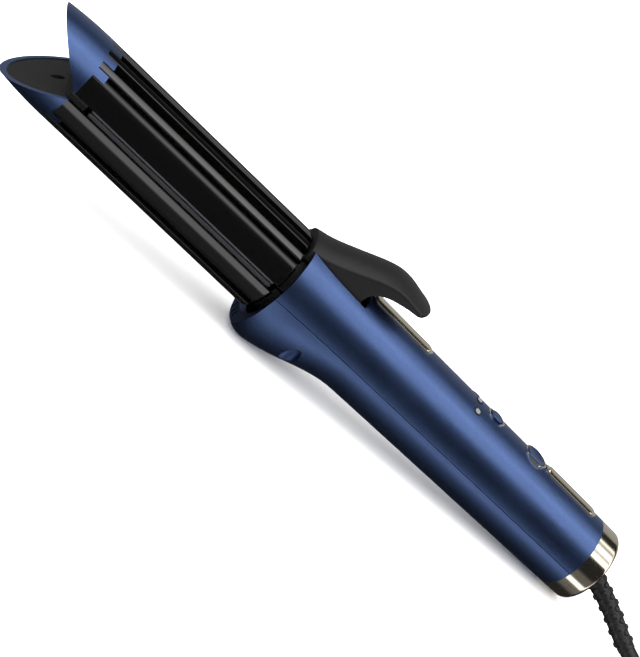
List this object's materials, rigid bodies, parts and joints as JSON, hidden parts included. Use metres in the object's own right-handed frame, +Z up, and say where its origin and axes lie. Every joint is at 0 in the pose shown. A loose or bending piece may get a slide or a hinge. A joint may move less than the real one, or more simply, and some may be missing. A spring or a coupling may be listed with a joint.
{
  "type": "hair styler",
  "caption": "Corded hair styler: ribbed split barrel with inner heat plates, opened by a sprung thumb lever, on a round blue handle with a swivel cord.",
  "frame": {"origin": "on the surface that the tool rests on, under the middle of the tool's box (cord left out)", "axes": "+X towards the tail and the cord, -X towards the tips, +Z up; the thumb lever is on top"},
  "size_m": [0.5006, 0.0587, 0.0597],
  "materials": {
    "satin_blue": "satin metallic blue lacquer",
    "gold_chrome": "bright champagne plating",
    "gloss_black": "gloss black heat-resistant moulding",
    "insert_black": "fine matte black moulding",
    "frame_black": "glass-filled black moulding",
    "lever_grey": "soft matte dark grey moulding",
    "plate_coating": "dark ceramic-coated plate",
    "heater_ceramic": "white ceramic heater",
    "bare_steel": "plain zinc-plated steel",
    "black_steel": "black oxide screw",
    "board_green": "green solder mask",
    "lens_white": "clear white lens",
    "socket_nylon": "black nylon",
    "cord_black": "flexible black sheath",
    "plug_brass": "nickelled brass pins"
  },
  "bodies": {
    "handle": {"upper_handle_shell": "satin_blue", "lower_handle_shell": "satin_blue", "tail_ring": "gold_chrome", "tail_end_plate": "insert_black", "swivel_socket": "socket_nylon", "front_trim_strip": "gold_chrome", "rear_trim_strip": "gold_chrome", "hinge_pin": "bare_steel", "clamp_spring": "bare_steel", "handle_screws": "black_steel", "control_board": "board_green", "tact_switches": "frame_black", "led_bezels": "insert_black", "led_lenses": "lens_white", "heat_button_arcs": "gold_chrome", "power_bezel": "gold_chrome", "fan_housing": "frame_black", "fan_motor": "bare_steel", "lower_arm_frame": "frame_black", "lower_barrel_shell": "gloss_black", "lower_tip_cap": "satin_blue", "lower_tip_insert": "insert_black", "lower_tip_screw": "bare_steel", "lower_plate_springs": "bare_steel"},
    "clamp_arm": {"upper_arm_frame": "frame_black", "upper_barrel_shell": "gloss_black", "upper_tip_cap": "satin_blue", "upper_tip_insert": "insert_black", "upper_tip_screw": "bare_steel", "upper_plate_springs": "bare_steel", "thumb_lever": "lever_grey", "lever_screws": "bare_steel"},
    "upper_plate": {"upper_heat_plate": "plate_coating", "upper_heater": "heater_ceramic", "upper_thermal_cutout": "bare_steel"},
    "lower_plate": {"lower_heat_plate": "plate_coating", "lower_heater": "heater_ceramic", "lower_thermal_cutout": "bare_steel"},
    "heat_key": {"heat_button": "satin_blue"},
    "power_key": {"power_button": "satin_blue"},
    "fan_rotor": {"fan_impeller": "frame_black"},
    "cord_swivel": {"swivel_ball": "cord_black", "strain_relief": "cord_black", "cord_run": "cord_black", "cord_hank": "cord_black", "cord_tail": "cord_black", "hank_tie": "cord_black", "plug_body": "cord_black", "plug_pins": "plug_brass"}
  },
  "joints": [
    {"name": "clamp_hinge", "type": "hinge", "parent": "handle", "child": "clamp_arm", "pos_m": [-0.0087, 0, 0.03633], "axis": [0, 1, 0], "range_deg": [0, 9.5], "stiffness_Nm_per_rad": 0.9, "springref_deg": -20.05, "deforming": ["clamp_spring"]},
    {"name": "upper_plate_float", "type": "slide", "parent": "clamp_arm", "child": "upper_plate", "axis": [0.0655, 0, 0.9979], "range_m": [0, 0.0008], "stiffness_N_per_m": 1500, "springref_m": -0.0012, "deforming": ["upper_plate_springs"]},
    {"name": "lower_plate_float", "type": "slide", "parent": "handle", "child": "lower_plate", "axis": [-0.0655, 0, -0.9979], "range_m": [0, 0.0008], "stiffness_N_per_m": 1500, "springref_m": -0.0012, "deforming": ["lower_plate_springs"]},
    {"name": "heat_button_press", "type": "slide", "parent": "handle", "child": "heat_key", "axis": [-0.0655, 0, -0.9979], "range_m": [0, 0.0008], "stiffness_N_per_m": 1200, "springref_m": -0.0004},
    {"name": "power_button_press", "type": "slide", "parent": "handle", "child": "power_key", "axis": [-0.0655, 0, -0.9979], "range_m": [0, 0.0008], "stiffness_N_per_m": 1200, "springref_m": -0.0004},
    {"name": "fan_spin", "type": "hinge", "parent": "handle", "child": "fan_rotor", "pos_m": [0.02463, 0, 0.02513], "axis": [0.9979, 0, -0.0655], "continuous": true},
    {"name": "cord_swivel_turn", "type": "hinge", "parent": "handle", "child": "cord_swivel", "pos_m": [0.14617, 0, 0.01715], "axis": [0.9979, 0, -0.0655], "continuous": true}
  ]
}
